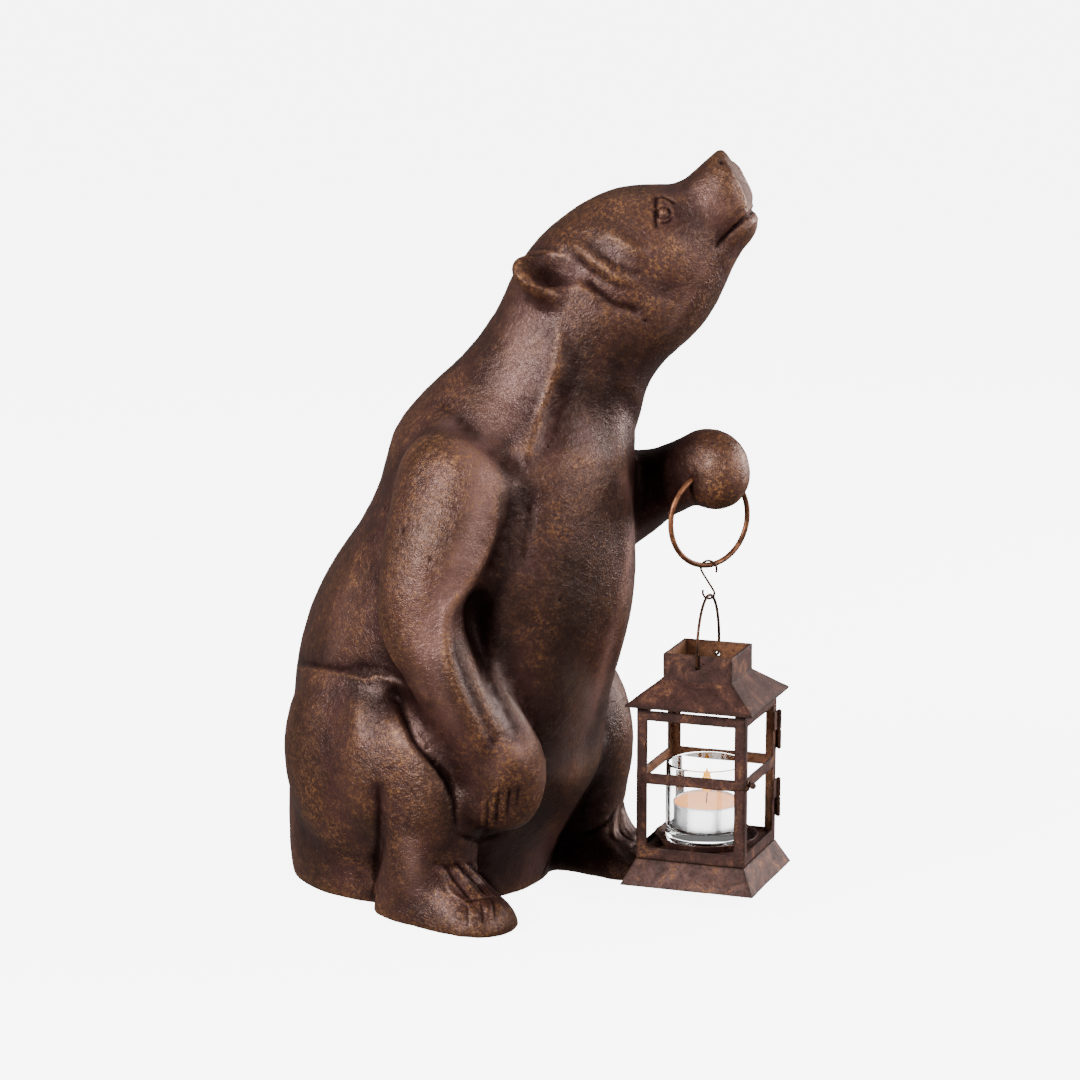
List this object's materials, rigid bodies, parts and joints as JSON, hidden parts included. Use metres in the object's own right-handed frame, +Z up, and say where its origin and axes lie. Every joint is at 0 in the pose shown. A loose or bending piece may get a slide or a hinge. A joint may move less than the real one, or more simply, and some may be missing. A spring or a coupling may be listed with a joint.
{
  "type": "cast aluminum bear statue with hanging lantern",
  "caption": "Seated bear cast in aluminium, head raised, with a small sheet-metal candle lantern hanging from a ring in its raised paw.",
  "frame": {"origin": "on the floor, under the middle of the bear's seat", "axes": "+X the way the bear's body faces, +Y the bear's left, +Z up"},
  "size_m": [0.2888, 0.2048, 0.421],
  "materials": {
    "patina": "cast aluminium with a dark brown patina rubbed golden on its high places",
    "wire": "copper-brown rusted wire",
    "sheet": "brown rusted sheet",
    "glass": "clear",
    "candle_metal": "thin bright pressed foil",
    "wax": "warm white wax",
    "wick": "charred cotton"
  },
  "bodies": {
    "figure": {"bear": "patina", "ring": "wire", "s_hook": "wire", "bail": "wire"},
    "lantern": {"lantern_roof": "sheet", "lantern_frame": "sheet", "lantern_base": "sheet", "lantern_floor": "sheet", "post_leaf_1": "sheet", "post_leaf_2": "sheet", "hinge_pin_1": "sheet", "hinge_pin_2": "sheet", "latch_loop": "wire", "dish": "sheet", "glass_cup": "glass", "candle_cup": "candle_metal", "candle_wax": "wax", "wick": "wick"},
    "door": {"door": "sheet", "door_knob": "sheet", "door_leaf_1": "sheet", "door_leaf_2": "sheet"}
  },
  "joints": [
    {"name": "lantern_swing", "type": "hinge", "parent": "figure", "child": "lantern", "pos_m": [0.1593, 0.0541, 0.13685], "axis": [-0.3173, 0.9483, 0], "range_deg": [-40, 3]},
    {"name": "door_hinge", "type": "hinge", "parent": "lantern", "child": "door", "pos_m": [0.18054, 0.09384, 0.13685], "axis": [0, 0, 1], "range_deg": [0, 110]}
  ]
}
